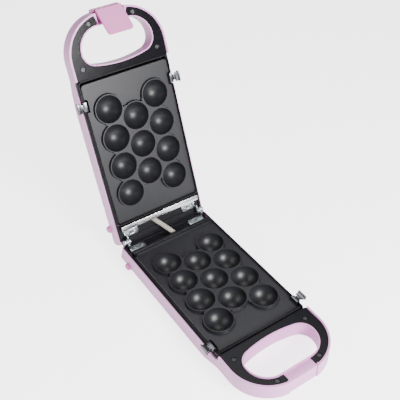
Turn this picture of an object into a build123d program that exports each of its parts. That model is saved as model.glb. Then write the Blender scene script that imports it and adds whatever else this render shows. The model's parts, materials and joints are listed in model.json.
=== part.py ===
from build123d import *
import os
from math import sin, cos, radians

# A clam-shell donut maker, lying open: a base and a lid on one hinge line, each with a handle loop.
# Each half is drawn closed, in millimetres: the hinge line is the X axis, the handle points to -Y,
# the plates meet at Z = 0, and the base hangs below it. Lid pieces are drawn the same way and
# mirrored, turned open about the hinge, and everything is lifted into the part's frame at the end.

# the open pose, and where the hinge line lies in the part's frame
OPEN_ANGLE = 108.7
HINGE_Y = 83.45
HINGE_Z = 32.4

# shell outline seen from above
BODY_HALF_WIDTH = 62.2
HANDLE_HALF_WIDTH = 61.6
HANDLE_END_Y = -276.6
HANDLE_CORNER = 48.0
SHOULDER_FRONT_Y = -209.0
REAR_Y = 14.6
REAR_CORNER = 9.0

# shell depth, measured from the plane where the plates meet
BODY_DEPTH = 30.0
HANDLE_DEPTH = 20.0
SLOPE_FRONT_Y = -212.0
SLOPE_BACK_Y = -178.0
BODY_EDGE_ROUND = 14.0
HANDLE_EDGE_ROUND = 11.0
SIDE_RIM_DEPTH = 6.4
REAR_RIM_DEPTH = 8.0
MEETING_GAP = 0.3
WALL = 2.4
HANDLE_WALL = 2.3
STOP_NEAR = 9.9
STOP_FAR = 26.0
STOP_CLEARANCE = 0.25

# hand hole and the black liner round it
HOLE_HALF_WIDTH = 44.8
HOLE_FRONT_Y = -262.0
HOLE_BACK_Y = -217.6
HOLE_CORNER = 25.0
HOLE_LIP = 1.6
LINER_SINK = 1.6
LINER_THICK = 2.0
LINER_HALF_WIDTH = 59.2
LINER_BACK_Y = -209.6
LINER_SCREWS = ((28.0, -266.3), (48.5, -220.0))
SCREW_HEAD_RADIUS = 2.6
SADDLE_HALF_WIDTH = 17.8

# baking plate
CAVITY_PITCH = 36.0
CAVITY_RADIUS = 16.6
PLATE_HALF_WIDTH = 57.8
PLATE_FRONT_Y = -203.9
PLATE_BACK_Y = -24.7
PLATE_CORNER = 4.5
PLATE_BORDER = 2.4
FIELD_SINK = 3.8
PLATE_THICK = 1.9
CAVITY_COLUMN_X = 31.2
CAVITY_ROW_Y = -59.7

# inner frame that carries plate and heater
FRAME_HALF_WIDTH = 59.3
FRAME_FRONT_Y = -207.8
FRAME_BACK_Y = -22.0
FRAME_TOP = 2.6
FRAME_FLOOR = 25.0
FRAME_WALL = 1.2
FRAME_CLEARANCE = 0.4
SHELF_DEPTH = 10.0
SHELF_BACK_Y = -1.0
FLANGE_HALF_WIDTH = 61.2
FLANGE_THICK = 1.1

# plate clips: middle of each along Y, their width, and the opening in the shell's rim round them
BASE_CLIP_Y = -192.5
LID_CLIP_Y = -178.8
CLIP_WIDTH = 11.0
CLIP_GAP = 1.2
CLIP_BITE = 2.6
CLIP_SHEET = 1.0
CLIP_SINK = 3.2
CLIP_OPENING = (-13.0, 9.0, 9.0)

# hinge
PIN_RADIUS = 2.0
LID_EAR_X = 51.2
BASE_EAR_X = 53.2
EAR_THICK = 1.4
BRACKET_INNER_X = 33.0
BRACKET_FRONT_Y = -12.0
RIVET_X = (37.5, 47.5)
RIVET_Y = -6.4
PIN_X = (50.2, 59.2)
SPRING_RADIUS = 3.4
SPRING_LENGTH = 2.8

# the two bars that hold the plates' hinge edges
STRIP_HALF_LENGTH = 56.0
STRIP_Y = (-20.8, -14.4)
STRIP_FOOT = 1.2
BAR_HALF_LENGTH = 56.6
BAR_Y = (-24.3, -16.4)

# latch flap on the lid
LATCH_PIVOT_Y = -273.8
LATCH_PIVOT_Z = 4.8
LATCH_HALF_WIDTH = 16.0
LATCH_LENGTH = 32.0
LATCH_THICK = 2.4
LATCH_REST_ANGLE = 51.0
LATCH_FACE_Y = -277.2
LATCH_PIN_RADIUS = 1.0
LATCH_BARREL = 2.2

# foot bars, rubber feet
FOOT_BAR_Y = (-18.4, -7.0)
FOOT_BAR_DROP = 2.4
FOOT_LOBE_RADIUS = 4.7
FOOT_LOBE_X = (50.0, 66.4)
FOOT_LOBE_Y = -13.0
RUBBER_FOOT_X = 42.0
RUBBER_FOOT_Y = -158.0
RUBBER_FOOT_RADIUS = 7.0

# cord inlet at the rear of the base
CORD_Z = -24.8
CORD_BORE = 3.0
BUSHING_RADIUS = 4.2

# indicator on the lid
LENS_Y = -143.0
LENS_RADIUS = 9.8
BEZEL_RADIUS = 12.2
BADGE_Y = -50.0
BADGE_SIZE = (27.0, 9.5, 0.5)

# parts in the rear bay of the base
THERMOSTAT_PLACE = (-30.0, -11.0)
FUSE_Y = -13.0
FUSE_Z = -23.0
TERMINAL_Z = (-21.0, -13.0)

# heating element, one loop under the plate
HEATER_INNER_X = 22.0
HEATER_SIDE_X = 52.6
HEATER_BACK_Y = -32.0
HEATER_FRONT_Y = -198.5
HEATER_Z = -13.0
HEATER_RADIUS = 3.0

# the braided sleeve's route in the open pose, from behind the lid's shelf to under the base's shelf
SLEEVE_RADIUS = 3.0
SLEEVE_BEND = 5.0
SLEEVE_ROUTE = ((-6.0, 17.6, 13.0), (-4.5, 9.0, 10.5), (4.5, -11.0, -4.4), (7.5, -17.0, -12.0))

nodes = {}


def block(x0, x1, y0, y1, z0, z1):
    """A box between two corners."""
    size = Box(abs(x1 - x0), abs(y1 - y0), abs(z1 - z0))
    return Pos((x0 + x1) / 2, (y0 + y1) / 2, (z0 + z1) / 2) * size


def rod(radius, start, end):
    """A round bar between two points on one axis."""
    run = Vector(*end) - Vector(*start)
    return Plane(origin=start, z_dir=run) * extrude(Circle(radius), run.length)


def both_sides(piece):
    """The piece and its mirror image across the middle plane."""
    return [piece, mirror(piece, Plane.YZ)]


def merged(first, *others):
    """One solid of several that touch or overlap."""
    result = first
    for other in others:
        result = result + other
    return result.clean()


# ---------------------------------------------------------------- outlines


def handle_outline(inset):
    """The handle loop's outer edge seen from above, carried on under the body."""
    half_width = HANDLE_HALF_WIDTH - inset
    front = HANDLE_END_Y + inset
    corners = [(half_width, -150), (half_width, front), (-half_width, front), (-half_width, -150)]
    face = make_face(Polyline(*corners, close=True))
    return fillet(face.vertices().sort_by(Axis.Y)[:2], HANDLE_CORNER - inset)


def body_outline(inset):
    """The whole half seen from above with square shoulders, rounded at the rear corners only."""
    half_width = BODY_HALF_WIDTH - inset
    rear = REAR_Y - inset
    corners = [(half_width, rear), (half_width, -300), (-half_width, -300), (-half_width, rear)]
    face = make_face(Polyline(*corners, close=True))
    return fillet(face.vertices().sort_by(Axis.Y)[-2:], REAR_CORNER - inset)


def hole_outline(grow=0.0):
    """The hand hole seen from above: straight at the handle, bowed towards the body."""
    wide = HOLE_HALF_WIDTH + grow
    front = HOLE_FRONT_Y - grow
    corner = HOLE_CORNER + grow
    corner_y = front + corner
    shoulder = (0.80 * wide, HOLE_BACK_Y - 4.6 + grow)
    side = (0.965 * wide, corner_y + 9.2)
    edges = [
        Line((-wide + corner, front), (wide - corner, front)),
        RadiusArc((wide - corner, front), (wide, corner_y), -corner),
        ThreePointArc((wide, corner_y), side, shoulder),
        ThreePointArc(shoulder, (0, HOLE_BACK_Y + grow), (-shoulder[0], shoulder[1])),
        ThreePointArc((-shoulder[0], shoulder[1]), (-side[0], side[1]), (-wide, corner_y)),
        RadiusArc((-wide, corner_y), (-wide + corner, front), -corner),
    ]
    return make_face(edges)


def side_profile(inset):
    """The half seen from the side: rims, the body's rounded rear and its slanted stop face."""
    half_turn = radians((360.0 - OPEN_ANGLE) / 2.0)
    away = (-cos(half_turn), -sin(half_turn))
    back = (STOP_CLEARANCE + inset) / sin(half_turn)
    near = (STOP_NEAR * away[0] - back, STOP_NEAR * away[1])
    far = (STOP_FAR * away[0] - back, STOP_FAR * away[1])
    floor = -BODY_DEPTH + inset
    points = [
        (HANDLE_END_Y - 2.0, -MEETING_GAP),
        (HANDLE_END_Y - 2.0, floor),
        (4.0, floor),
        (10.0 - inset, floor + 2.6),
        far,
        near,
        (2.4, -SIDE_RIM_DEPTH),
        (SHOULDER_FRONT_Y, -SIDE_RIM_DEPTH),
        (SHOULDER_FRONT_Y, -MEETING_GAP),
    ]
    return make_face(Polyline(*points, close=True))


def cross_section(half_width, depth, edge_round, y):
    """A slice across the half: flat on top, rounded along the outer edges."""
    slice_plane = Plane(origin=(0, y, 0), x_dir=(1, 0, 0), z_dir=(0, -1, 0))
    corners = [(-half_width, 1), (half_width, 1), (half_width, -depth), (-half_width, -depth)]
    face = make_face(Polyline(*corners, close=True))
    face = fillet(face.vertices().sort_by(Axis.Y)[:2], edge_round)
    return slice_plane * face


def solid_half(inset, handle_inset, edge_round):
    """The full block of one half: handle, widening slope and body, rounded along the outer edges."""
    handle_depth = HANDLE_DEPTH - inset
    handle = Pos(0, 0, -handle_depth) * extrude(handle_outline(handle_inset), handle_depth + 1.0)
    front_edges = [
        e for e in handle.edges() if e.bounding_box().max.Z < -handle_depth + 0.1 and (e @ 0.5).Y < -151
    ]
    handle_round = edge_round + HANDLE_EDGE_ROUND - BODY_EDGE_ROUND
    handle = fillet(front_edges, handle_round)
    handle = handle & block(-80, 80, -300, SLOPE_FRONT_Y, -40, 2)
    narrow = cross_section(HANDLE_HALF_WIDTH - handle_inset, handle_depth, handle_round, SLOPE_FRONT_Y)
    wide = cross_section(BODY_HALF_WIDTH - inset, BODY_DEPTH - inset, edge_round, SLOPE_BACK_Y)
    slope = loft([narrow, wide])
    body = extrude(wide, SLOPE_BACK_Y - 30.0)
    plan = Pos(0, 0, -BODY_DEPTH - 2.0) * extrude(body_outline(inset), BODY_DEPTH + 4.0)
    across = 2.0 * BODY_HALF_WIDTH + 10.0
    profile = Plane(origin=(-across / 2, 0, 0), x_dir=(0, 1, 0), z_dir=(1, 0, 0))
    sides = profile * extrude(side_profile(inset), across)
    return merged(handle, slope, body) & plan & sides


def inner_space(inset, handle_inset):
    """The hollow inside one half, left open at the top."""
    inner = solid_half(inset, handle_inset, BODY_EDGE_ROUND - inset)
    return inner + Pos(0, 0, SIDE_RIM_DEPTH) * inner


# ---------------------------------------------------------------- shells and liners


def clip_opening(clip_y, inner_x):
    """The room cut away round a clip on either side, outside the given distance from the middle."""
    front, back, depth = CLIP_OPENING
    right = block(inner_x, BODY_HALF_WIDTH + 2.0, clip_y + front, clip_y + back, -depth, 1.0)
    return merged(*both_sides(right))


def shell(clip_y):
    """The pale moulding: floor, walls, the tube round the hand hole, bulkhead and screw bosses."""
    outer = solid_half(0.0, 0.0, BODY_EDGE_ROUND)
    tube = Pos(0, 0, -BODY_DEPTH) * extrude(hole_outline(HOLE_LIP), BODY_DEPTH + 5.0)
    bulkhead = block(-70, 70, LINER_BACK_Y - 1.8, LINER_BACK_Y, -40, -LINER_SINK - LINER_THICK)
    bosses = [
        rod(3.2, (sx * x, y, -40), (sx * x, y, -LINER_SINK - LINER_THICK))
        for x, y in LINER_SCREWS
        for sx in (-1, 1)
    ]
    fill = merged(tube, bulkhead, *bosses)
    body = merged(outer - inner_space(WALL, HANDLE_WALL), fill & outer)
    body = body - Pos(0, 0, -BODY_DEPTH - 1) * extrude(hole_outline(), BODY_DEPTH + 5.0)
    for x, y in LINER_SCREWS:
        for sx in (-1, 1):
            body = body - rod(1.1, (sx * x, y, -HANDLE_DEPTH + 4.0), (sx * x, y, 0))
    body = body - block(-FRAME_HALF_WIDTH, FRAME_HALF_WIDTH, SHELF_BACK_Y, REAR_Y, -REAR_RIM_DEPTH, 1.0)
    return body - clip_opening(clip_y, BODY_HALF_WIDTH - 6.0)


def base_shell():
    """The base moulding, with the pale saddle that the latch closes over and a bore for the cord."""
    body = shell(BASE_CLIP_Y)
    saddle = block(
        -SADDLE_HALF_WIDTH, SADDLE_HALF_WIDTH, HANDLE_END_Y + 1.2, HOLE_FRONT_Y - 0.4, -HANDLE_DEPTH, -LINER_SINK
    )
    slope_edge = saddle.edges().filter_by(Axis.X).group_by(Axis.Z)[-1].sort_by(Axis.Y)[-1]
    saddle = chamfer(slope_edge, 3.4, 1.4)
    outer = solid_half(0.0, 0.0, BODY_EDGE_ROUND)
    recess = block(
        -SADDLE_HALF_WIDTH, SADDLE_HALF_WIDTH, HANDLE_END_Y - 2, HANDLE_END_Y + 1.2, -HANDLE_DEPTH - 4, 2
    )
    top = block(-SADDLE_HALF_WIDTH, SADDLE_HALF_WIDTH, HANDLE_END_Y - 2, HOLE_FRONT_Y, -LINER_SINK, 2)
    body = merged(body, saddle & outer) - recess - top
    return body - rod(BUSHING_RADIUS, (0, 0, CORD_Z), (0, 20, CORD_Z))


def lid_shell():
    """The lid moulding, with a deep pocket at the handle's end for the latch, and a lens hole."""
    body = shell(LID_CLIP_Y)
    pocket_floor = -LATCH_PIVOT_Z - LATCH_BARREL - 1.4
    outer = solid_half(0.0, 0.0, BODY_EDGE_ROUND)
    backing = block(
        -SADDLE_HALF_WIDTH - 2.4,
        SADDLE_HALF_WIDTH + 2.4,
        HANDLE_END_Y + 0.1,
        HOLE_FRONT_Y - 0.2,
        -HANDLE_DEPTH,
        -LINER_SINK - LINER_THICK,
    )
    pocket = block(
        -SADDLE_HALF_WIDTH, SADDLE_HALF_WIDTH, HANDLE_END_Y - 2, HOLE_FRONT_Y - 3.4, pocket_floor, 2
    )
    low_rim = block(-SADDLE_HALF_WIDTH, SADDLE_HALF_WIDTH, -270, HOLE_FRONT_Y + 1, -LINER_SINK, 2)
    body = merged(body, backing & outer) - pocket - low_rim
    pin_hole = rod(
        LATCH_PIN_RADIUS + 0.03,
        (-SADDLE_HALF_WIDTH - 2.0, LATCH_PIVOT_Y, -LATCH_PIVOT_Z),
        (SADDLE_HALF_WIDTH + 2.0, LATCH_PIVOT_Y, -LATCH_PIVOT_Z),
    )
    lens_hole = rod(LENS_RADIUS + 0.2, (0, LENS_Y, -40), (0, LENS_Y, -20))
    return body - pin_hole - lens_hole


def handle_liner(notch_half_width):
    """The black panel that closes the handle loop, open in the middle of the grip."""
    top = -LINER_SINK
    half_width = LINER_HALF_WIDTH
    front = HANDLE_END_Y + HANDLE_WALL + 0.2
    corners = [(half_width, LINER_BACK_Y), (half_width, front), (-half_width, front), (-half_width, LINER_BACK_Y)]
    face = make_face(Polyline(*corners, close=True))
    face = fillet(face.vertices().sort_by(Axis.Y)[:2], HANDLE_CORNER - HANDLE_WALL)
    panel = Pos(0, 0, top - LINER_THICK) * extrude(face, LINER_THICK)
    panel = panel - Pos(0, 0, top - 5) * extrude(hole_outline(HOLE_LIP + 0.1), 10)
    panel = panel - block(-notch_half_width, notch_half_width, front - 1, HOLE_FRONT_Y + 2, top - 5, 1)
    for x, y in LINER_SCREWS:
        for sx in (-1, 1):
            panel = panel - rod(SCREW_HEAD_RADIUS + 0.15, (sx * x, y, top - 1.1), (sx * x, y, 1))
            panel = panel - rod(1.3, (sx * x, y, top - 5), (sx * x, y, 1))
    return panel


def liner_screws():
    """Four screws with cross recesses, sunk in the liner."""
    top = -LINER_SINK - 0.35
    screw = rod(SCREW_HEAD_RADIUS, (0, 0, top - 0.7), (0, 0, top))
    screw = screw + rod(1.05, (0, 0, top - 9.0), (0, 0, top - 0.7))
    screw = screw - block(-1.5, 1.5, -0.3, 0.3, top - 0.45, top + 1)
    screw = screw - block(-0.3, 0.3, -1.5, 1.5, top - 0.45, top + 1)
    return [Pos(sx * x, y, 0) * screw for x, y in LINER_SCREWS for sx in (-1, 1)]


# ---------------------------------------------------------------- plate, frame, heater


def cavity_centres():
    """Two outer columns of four and a middle column of three, half a pitch along."""
    outer = [(sx * CAVITY_COLUMN_X, CAVITY_ROW_Y - k * CAVITY_PITCH) for sx in (-1, 1) for k in range(4)]
    middle = [(0.0, CAVITY_ROW_Y - (k + 0.5) * CAVITY_PITCH) for k in range(3)]
    return outer + middle


def plate(clip_y):
    """The non-stick plate: rim and cavity island at the meeting level, flat field sunk between."""
    top = -MEETING_GAP
    depth = FIELD_SINK + PLATE_THICK
    length = PLATE_BACK_Y - PLATE_FRONT_Y
    middle_y = (PLATE_BACK_Y + PLATE_FRONT_Y) / 2.0
    outline = Pos(0, middle_y) * RectangleRounded(2 * PLATE_HALF_WIDTH, length, PLATE_CORNER)
    field = Pos(0, middle_y) * RectangleRounded(
        2 * (PLATE_HALF_WIDTH - PLATE_BORDER), length - 2 * PLATE_BORDER, PLATE_CORNER - 1.5
    )
    solid = Pos(0, 0, top - depth) * extrude(outline, depth)
    solid = solid - Pos(0, 0, top - FIELD_SINK) * extrude(field, FIELD_SINK + 1)
    land = CAVITY_RADIUS + 1.8
    centres = cavity_centres()
    rows = [CAVITY_ROW_Y, CAVITY_ROW_Y - 3 * CAVITY_PITCH]
    web = Polyline(
        (-CAVITY_COLUMN_X, rows[0]),
        (0, rows[0] - CAVITY_PITCH / 2),
        (CAVITY_COLUMN_X, rows[0]),
        (CAVITY_COLUMN_X, rows[1]),
        (0, rows[1] + CAVITY_PITCH / 2),
        (-CAVITY_COLUMN_X, rows[1]),
        close=True,
    )
    island = extrude(make_face(web), depth)
    for x, y in centres:
        island = island + Pos(x, y) * extrude(Circle(land), depth)
    solid = solid + Pos(0, 0, top - depth) * island
    lower_half = block(-60, 60, -210, -20, top - 30, top - depth + 0.5)
    for x, y in centres:
        cup = Pos(x, y, top) * Sphere(CAVITY_RADIUS + PLATE_THICK)
        solid = solid + (cup & lower_half)
    for x, y in centres:
        solid = solid - Pos(x, y, top) * Sphere(CAVITY_RADIUS)
    for sx in (-1, 1):
        low, high = sorted((sx * (PLATE_HALF_WIDTH - CLIP_BITE), sx * (PLATE_HALF_WIDTH + 1)))
        half = CLIP_WIDTH / 2 + CLIP_GAP
        solid = solid - block(low, high, clip_y - half, clip_y + half, top - CLIP_SINK, top + 1)
    return solid


def rim_flange():
    """The frame's flange: it lies on the shell's side rims, and caps the rear wall behind the shelf."""
    low = -SIDE_RIM_DEPTH
    inner = FRAME_HALF_WIDTH - FRAME_WALL
    side = block(inner, FLANGE_HALF_WIDTH, FRAME_FRONT_Y, SHELF_BACK_Y, low, low + FLANGE_THICK)
    top = -REAR_RIM_DEPTH + FLANGE_THICK
    section = Polyline(
        (SHELF_BACK_Y - FRAME_WALL, -SHELF_DEPTH),
        (SHELF_BACK_Y - FRAME_WALL, top),
        (4.1, top),
        (4.8, -REAR_RIM_DEPTH),
        (SHELF_BACK_Y, -REAR_RIM_DEPTH),
        (SHELF_BACK_Y, -SHELF_DEPTH),
        close=True,
    )
    across = 2.0 * (FRAME_HALF_WIDTH - FRAME_CLEARANCE)
    cap = Plane(origin=(-across / 2, 0, 0), x_dir=(0, 1, 0), z_dir=(1, 0, 0)) * extrude(make_face(section), across)
    return merged(cap, *both_sides(side))


def inner_frame(clip_y):
    """The dark tray round the plate and heater, with the shelf that the hinge brackets sit on."""
    walls = block(
        -FRAME_HALF_WIDTH, FRAME_HALF_WIDTH, FRAME_FRONT_Y, FRAME_BACK_Y, -FRAME_FLOOR - FRAME_WALL, -FRAME_TOP
    )
    hollow = block(
        -FRAME_HALF_WIDTH + FRAME_WALL,
        FRAME_HALF_WIDTH - FRAME_WALL,
        FRAME_FRONT_Y + FRAME_WALL,
        FRAME_BACK_Y - FRAME_WALL,
        -FRAME_FLOOR,
        5,
    )
    outer_fit = inner_space(WALL + FRAME_CLEARANCE, HANDLE_WALL + FRAME_CLEARANCE)
    inner_fit = inner_space(WALL + FRAME_CLEARANCE + FRAME_WALL, HANDLE_WALL + FRAME_CLEARANCE + FRAME_WALL)
    tray = (walls & outer_fit) - (hollow & inner_fit)
    end_cut = block(-80, 80, FRAME_BACK_Y - FRAME_WALL - 0.5, 10, -SHELF_DEPTH + FRAME_WALL, 5)
    shelf = block(
        -FRAME_HALF_WIDTH,
        FRAME_HALF_WIDTH,
        FRAME_BACK_Y - FRAME_WALL,
        SHELF_BACK_Y,
        -SHELF_DEPTH,
        -SHELF_DEPTH + FRAME_WALL,
    )
    shelf = shelf - block(-14, 14, FRAME_BACK_Y + 0.6, FRAME_BACK_Y + 13.0, -20, 0)
    tray = merged(tray - end_cut, shelf, rim_flange()) - clip_opening(clip_y, FRAME_HALF_WIDTH)
    for sx in (-1, 1):
        low, high = sorted((sx * 50.0, sx * 70.0))
        half = CLIP_WIDTH / 2 + CLIP_GAP
        tray = tray - block(low, high, clip_y - half, clip_y + half, -6.0, 0)
        tray = tray - rod(3.4, (sx * HEATER_INNER_X, -30, HEATER_Z), (sx * HEATER_INNER_X, -10, HEATER_Z))
        for x in RIVET_X:
            tray = tray - rod(1.55, (sx * x, RIVET_Y, -20), (sx * x, RIVET_Y, 0))
    return tray


def heating_element():
    """One sheathed tube that runs round under the plate's edge, both ends out at the hinge side."""
    start_y = FRAME_BACK_Y + 4.0
    route = Polyline(
        (HEATER_INNER_X, start_y, HEATER_Z),
        (HEATER_INNER_X, HEATER_BACK_Y, HEATER_Z),
        (HEATER_SIDE_X, HEATER_BACK_Y, HEATER_Z),
        (HEATER_SIDE_X, HEATER_FRONT_Y, HEATER_Z),
        (-HEATER_SIDE_X, HEATER_FRONT_Y, HEATER_Z),
        (-HEATER_SIDE_X, HEATER_BACK_Y, HEATER_Z),
        (-HEATER_INNER_X, HEATER_BACK_Y, HEATER_Z),
        (-HEATER_INNER_X, start_y, HEATER_Z),
    )
    bends = [v for v in route.vertices() if v.Y < start_y - 1]
    route = fillet(bends, 7.5)
    start = Plane(origin=(HEATER_INNER_X, start_y, HEATER_Z), z_dir=(0, -1, 0))
    return sweep(start * Circle(HEATER_RADIUS), path=route)


# ---------------------------------------------------------------- clips, bars, brackets


def clip(clip_y):
    """A spring clip on the right side: hook over the plate's edge, shank, and a bent finger grip."""
    front, back = clip_y - CLIP_WIDTH / 2, clip_y + CLIP_WIDTH / 2
    hook_x = PLATE_HALF_WIDTH - CLIP_BITE + 0.6
    leg_x = PLATE_HALF_WIDTH + 1.0
    grip_x = BODY_HALF_WIDTH + 0.8
    lip_x = BODY_HALF_WIDTH + 4.4
    hook = block(hook_x, leg_x + CLIP_SHEET, front, back, -2.2, -1.0)
    leg = block(leg_x, leg_x + CLIP_SHEET, front, back, -5.0, -1.0)
    half_shank = CLIP_WIDTH * 0.31
    shank = block(leg_x, grip_x + 1.0, clip_y - half_shank, clip_y + half_shank, -2.8, -1.2)
    grip = block(grip_x, lip_x + 1.0, front, back, -2.2, 0.2)
    lip = block(lip_x, lip_x + 1.8, front - 0.7, back + 0.7, -3.4, 1.6)
    return merged(hook, leg, shank, grip, lip)


def lid_retaining_strip():
    """The bright strip that holds the lid plate's hinge edge."""
    half = STRIP_HALF_LENGTH
    front, back = STRIP_Y
    top, under = -0.7, -1.9
    strip = block(-half, half, front, back, under, top)
    foot = block(-half, half, front, front + STRIP_FOOT, -SHELF_DEPTH + FRAME_WALL, under)
    return merged(strip, foot)


def base_retaining_bar():
    """The dark stepped bar that holds the base plate's hinge edge, cut away under the wire sleeve."""
    half = BAR_HALF_LENGTH
    front, back = BAR_Y
    under, step, crown, top = -3.6, -2.4, -1.6, -0.8
    low = block(-half, half, front, back, under, step)
    middle = block(-half, half, front + 1.3, back, step, crown)
    high = block(-half, half, front + 2.9, back - 1.6, crown, top)
    foot = block(-half, half, back - 1.6, back, -SHELF_DEPTH + FRAME_WALL, under)
    sleeve_gap = block(-16, 16, front, back + 1, -SHELF_DEPTH, under - 0.1)
    return merged(low, middle, high, foot - sleeve_gap)


def bracket(ear_x, hole_radius):
    """A right-hand hinge bracket: a riveted foot on the shelf and an ear round the hinge line."""
    foot_low = -SHELF_DEPTH + FRAME_WALL
    back = SHELF_BACK_Y - FRAME_WALL - 0.3
    foot = block(BRACKET_INNER_X, ear_x + EAR_THICK, BRACKET_FRONT_Y, back, foot_low, foot_low + EAR_THICK)
    inner_corners = foot.edges().filter_by(Axis.Z).group_by(Axis.X)[0]
    foot = fillet(inner_corners, 3.0)
    ear = block(ear_x, ear_x + EAR_THICK, -6.5, 3.4, foot_low, 0)
    ear_tip = block(ear_x, ear_x + EAR_THICK, back, 5.0, foot_low - 1, -4.6)
    eye = rod(3.9, (ear_x, 0, 0), (ear_x + EAR_THICK, 0, 0))
    piece = merged(foot, ear - ear_tip, eye)
    for x in RIVET_X:
        piece = piece - rod(1.55, (x, RIVET_Y, -20), (x, RIVET_Y, 0))
    return piece - rod(hole_radius, (ear_x - 2, 0, 0), (ear_x + 4, 0, 0))


def bracket_rivets():
    """Two domed rivets through each bracket and the shelf."""
    low = -SHELF_DEPTH
    head_low = low + FRAME_WALL + EAR_THICK
    pieces = []
    for sx in (-1, 1):
        for x in RIVET_X:
            shank = rod(1.5, (sx * x, RIVET_Y, low - 0.6), (sx * x, RIVET_Y, head_low))
            head = Pos(sx * x, RIVET_Y, head_low) * Cylinder(2.3, 0.9, align=(Align.CENTER, Align.CENTER, Align.MIN))
            head = fillet(head.edges().group_by(Axis.Z)[-1], 0.6)
            tail = rod(2.2, (sx * x, RIVET_Y, low - 0.9), (sx * x, RIVET_Y, low))
            pieces.append(merged(shank, head, tail))
    return pieces


def hinge_pin():
    """The right-hand hinge pin: head outside the base ear, groove ring inside the lid ear."""
    inner_x, outer_x = PIN_X
    head_x = BASE_EAR_X + EAR_THICK + 0.05
    shaft = rod(PIN_RADIUS, (inner_x, 0, 0), (outer_x, 0, 0))
    head = rod(PIN_RADIUS + 1.1, (head_x, 0, 0), (head_x + 1.35, 0, 0))
    ring = rod(PIN_RADIUS + 1.0, (inner_x + 0.1, 0, 0), (LID_EAR_X - 0.2, 0, 0))
    return merged(shaft, head, ring)


def hinge_spring():
    """The small coil spring on the outer end of the right-hand pin, as its envelope."""
    outer_x = PIN_X[1] - 0.2
    inner_x = outer_x - SPRING_LENGTH
    envelope = rod(SPRING_RADIUS, (inner_x, 0, 0), (outer_x, 0, 0))
    return envelope - rod(PIN_RADIUS + 0.3, (inner_x - 1, 0, 0), (outer_x + 1, 0, 0))


def foot_bar():
    """The deeper pink bar across the outer face: a low middle strip and a round lobe at each end."""
    y0, y1 = FOOT_BAR_Y
    low = -BODY_DEPTH - FOOT_BAR_DROP
    inner_x, outer_x = FOOT_LOBE_X
    middle = block(-inner_x - 2, inner_x + 2, y0, y1, low, -BODY_DEPTH)
    lobe_z = low + FOOT_LOBE_RADIUS
    lobe = rod(FOOT_LOBE_RADIUS, (inner_x, FOOT_LOBE_Y, lobe_z), (outer_x, FOOT_LOBE_Y, lobe_z))
    lobe = fillet(lobe.edges().group_by(Axis.X)[-1], FOOT_LOBE_RADIUS - 1.2)
    bar = merged(middle, *both_sides(lobe)) - solid_half(0.0, 0.0, BODY_EDGE_ROUND)
    screw_hole = rod(1.8, (0, FOOT_LOBE_Y, low - 1), (0, FOOT_LOBE_Y, low + 1.6))
    return bar - screw_hole


# ---------------------------------------------------------------- latch, indicator, electrics


def latch():
    """The flap that hooks over the base's handle: barrel, plate, and a tip that flares outward."""
    barrel = rod(
        LATCH_BARREL,
        (-LATCH_HALF_WIDTH, LATCH_PIVOT_Y, LATCH_PIVOT_Z),
        (LATCH_HALF_WIDTH, LATCH_PIVOT_Y, LATCH_PIVOT_Z),
    )
    web = block(
        -LATCH_HALF_WIDTH,
        LATCH_HALF_WIDTH,
        LATCH_FACE_Y - LATCH_THICK,
        LATCH_PIVOT_Y,
        LATCH_PIVOT_Z - LATCH_BARREL + 0.9,
        LATCH_PIVOT_Z + LATCH_BARREL,
    )
    tip_z = LATCH_PIVOT_Z - LATCH_LENGTH
    flap = block(
        -LATCH_HALF_WIDTH,
        LATCH_HALF_WIDTH,
        LATCH_FACE_Y - LATCH_THICK,
        LATCH_FACE_Y,
        tip_z,
        LATCH_PIVOT_Z + LATCH_BARREL,
    )
    corners = flap.edges().filter_by(Axis.Y).group_by(Axis.Z)[0]
    flap = fillet(corners, 3.5)
    bore = rod(LATCH_PIN_RADIUS + 0.05, (-30, LATCH_PIVOT_Y, LATCH_PIVOT_Z), (30, LATCH_PIVOT_Y, LATCH_PIVOT_Z))
    piece = merged(barrel, web, flap) - bore
    pivot = Axis((0, LATCH_PIVOT_Y, LATCH_PIVOT_Z), (1, 0, 0))
    return piece.rotate(pivot, LATCH_REST_ANGLE)


def latch_pin():
    """The steel pin that the latch turns on."""
    reach = SADDLE_HALF_WIDTH + 1.8
    return rod(LATCH_PIN_RADIUS, (-reach, LATCH_PIVOT_Y, LATCH_PIVOT_Z), (reach, LATCH_PIVOT_Y, LATCH_PIVOT_Z))


def latch_block():
    """The raised cap over the handle's end, on the lid's outer face, above the latch flap."""
    front = LATCH_FACE_Y - LATCH_THICK
    outline = Polyline(
        (front, LATCH_PIVOT_Z + LATCH_BARREL + 1.4),
        (front, HANDLE_DEPTH + 2.4),
        (-264.0, HANDLE_DEPTH + 2.4),
        (-264.0, HANDLE_DEPTH - 0.2),
        (LATCH_FACE_Y + 0.4, LATCH_PIVOT_Z + LATCH_BARREL + 1.4),
        close=True,
    )
    side = Plane(origin=(-LATCH_HALF_WIDTH - 0.6, 0, 0), x_dir=(0, 1, 0), z_dir=(1, 0, 0))
    cap = side * extrude(make_face(outline), 2 * LATCH_HALF_WIDTH + 1.2)
    corner = cap.edges().filter_by(Axis.X).sort_by(Axis.Z)[-2:].sort_by(Axis.Y)[0]
    cap = fillet(corner, 5.0)
    return cap - mirror(solid_half(0.0, 0.0, BODY_EDGE_ROUND), Plane.XY)


def indicator_bezel():
    """The pale ring round the indicator lens."""
    ring = rod(BEZEL_RADIUS, (0, LENS_Y, -BODY_DEPTH - 1.6), (0, LENS_Y, -BODY_DEPTH))
    ring = ring - rod(LENS_RADIUS + 0.2, (0, LENS_Y, -50), (0, LENS_Y, 0))
    outer_edge = ring.edges().filter_by(GeomType.CIRCLE).group_by(Axis.Z)[0].sort_by(SortBy.RADIUS)[-1]
    return fillet(outer_edge, 1.2)


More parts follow.
